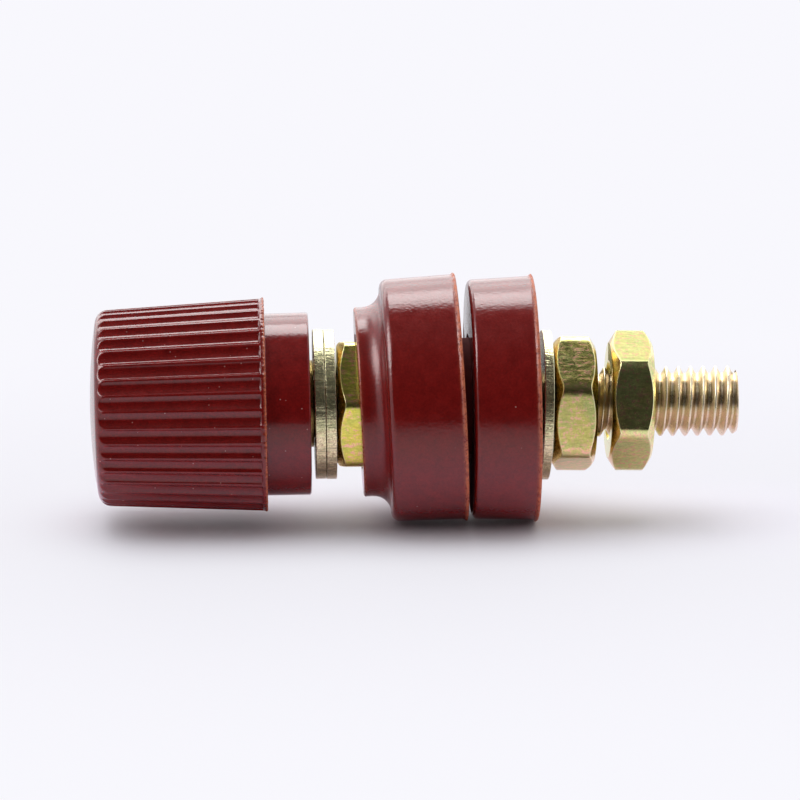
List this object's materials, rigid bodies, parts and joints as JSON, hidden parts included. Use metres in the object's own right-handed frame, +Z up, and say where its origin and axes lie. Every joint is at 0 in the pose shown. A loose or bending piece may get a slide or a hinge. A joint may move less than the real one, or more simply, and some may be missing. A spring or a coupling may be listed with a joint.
{
  "type": "binding post",
  "caption": "Insulated binding post with a fluted screw-down knob, clamp washers, insulating bushes for a panel hole, and a threaded stud with hexagonal nuts.",
  "frame": {"origin": "on the stud's axis, in the face of the front insulator that seats on the panel", "axes": "+X along the stud, from the knob through the panel to the terminal thread; +Z up, as the post lies; Y completes the frame"},
  "size_m": [0.0365, 0.014, 0.0142],
  "materials": {
    "bakelite": "moulded dark red phenolic, glossy, with a dull orange flash line",
    "nut_plating": "turned brass, yellow-green passivated zinc plating",
    "washer_plating": "stamped brass, pale yellow zinc plating, fine streaks across the edge",
    "stud_plating": "threaded brass rod, pale champagne plating",
    "insert_brass": "turned brass, plain"
  },
  "bodies": {
    "post": {"stud": "stud_plating", "front_nut": "nut_plating", "front_insulator": "bakelite", "inner_clamp_washer": "washer_plating"},
    "clamp_washer": {"outer_clamp_washer": "washer_plating"},
    "knob": {"knob_cap": "bakelite", "knob_insert": "insert_brass"},
    "rear_clamp": {"rear_insulator": "bakelite", "rear_washer": "washer_plating"},
    "panel_nut": {"panel_nut": "nut_plating"},
    "terminal_nut": {"terminal_nut": "nut_plating"}
  },
  "joints": [
    {"name": "knob_travel", "type": "slide", "parent": "post", "child": "clamp_washer", "axis": [-1, 0, 0], "range_m": [0, 0.0042]},
    {"name": "knob_turn", "type": "hinge", "parent": "clamp_washer", "child": "knob", "pos_m": [-0.01116, 0, 0], "axis": [-0.9999, 0, -0.014], "range_deg": [0, 2160]},
    {"name": "panel_clamp", "type": "slide", "parent": "post", "child": "rear_clamp", "axis": [1, 0, 0], "range_m": [-0.00015, 0.00268]},
    {"name": "panel_nut_turn", "type": "hinge", "parent": "rear_clamp", "child": "panel_nut", "pos_m": [0.00632, 0, -0.00009], "axis": [0.9998, 0, -0.0175], "range_deg": [-75, 1380]},
    {"name": "terminal_nut_travel", "type": "slide", "parent": "rear_clamp", "child": "terminal_nut", "axis": [1, 0, 0], "range_m": [-0.00078, 0.00485]}
  ],
  "couplings": [
    {"joint": "knob_turn", "follows": "knob_travel", "rad_per_m": 8976},
    {"joint": "panel_nut_turn", "follows": "panel_clamp", "rad_per_m": 8976}
  ]
}
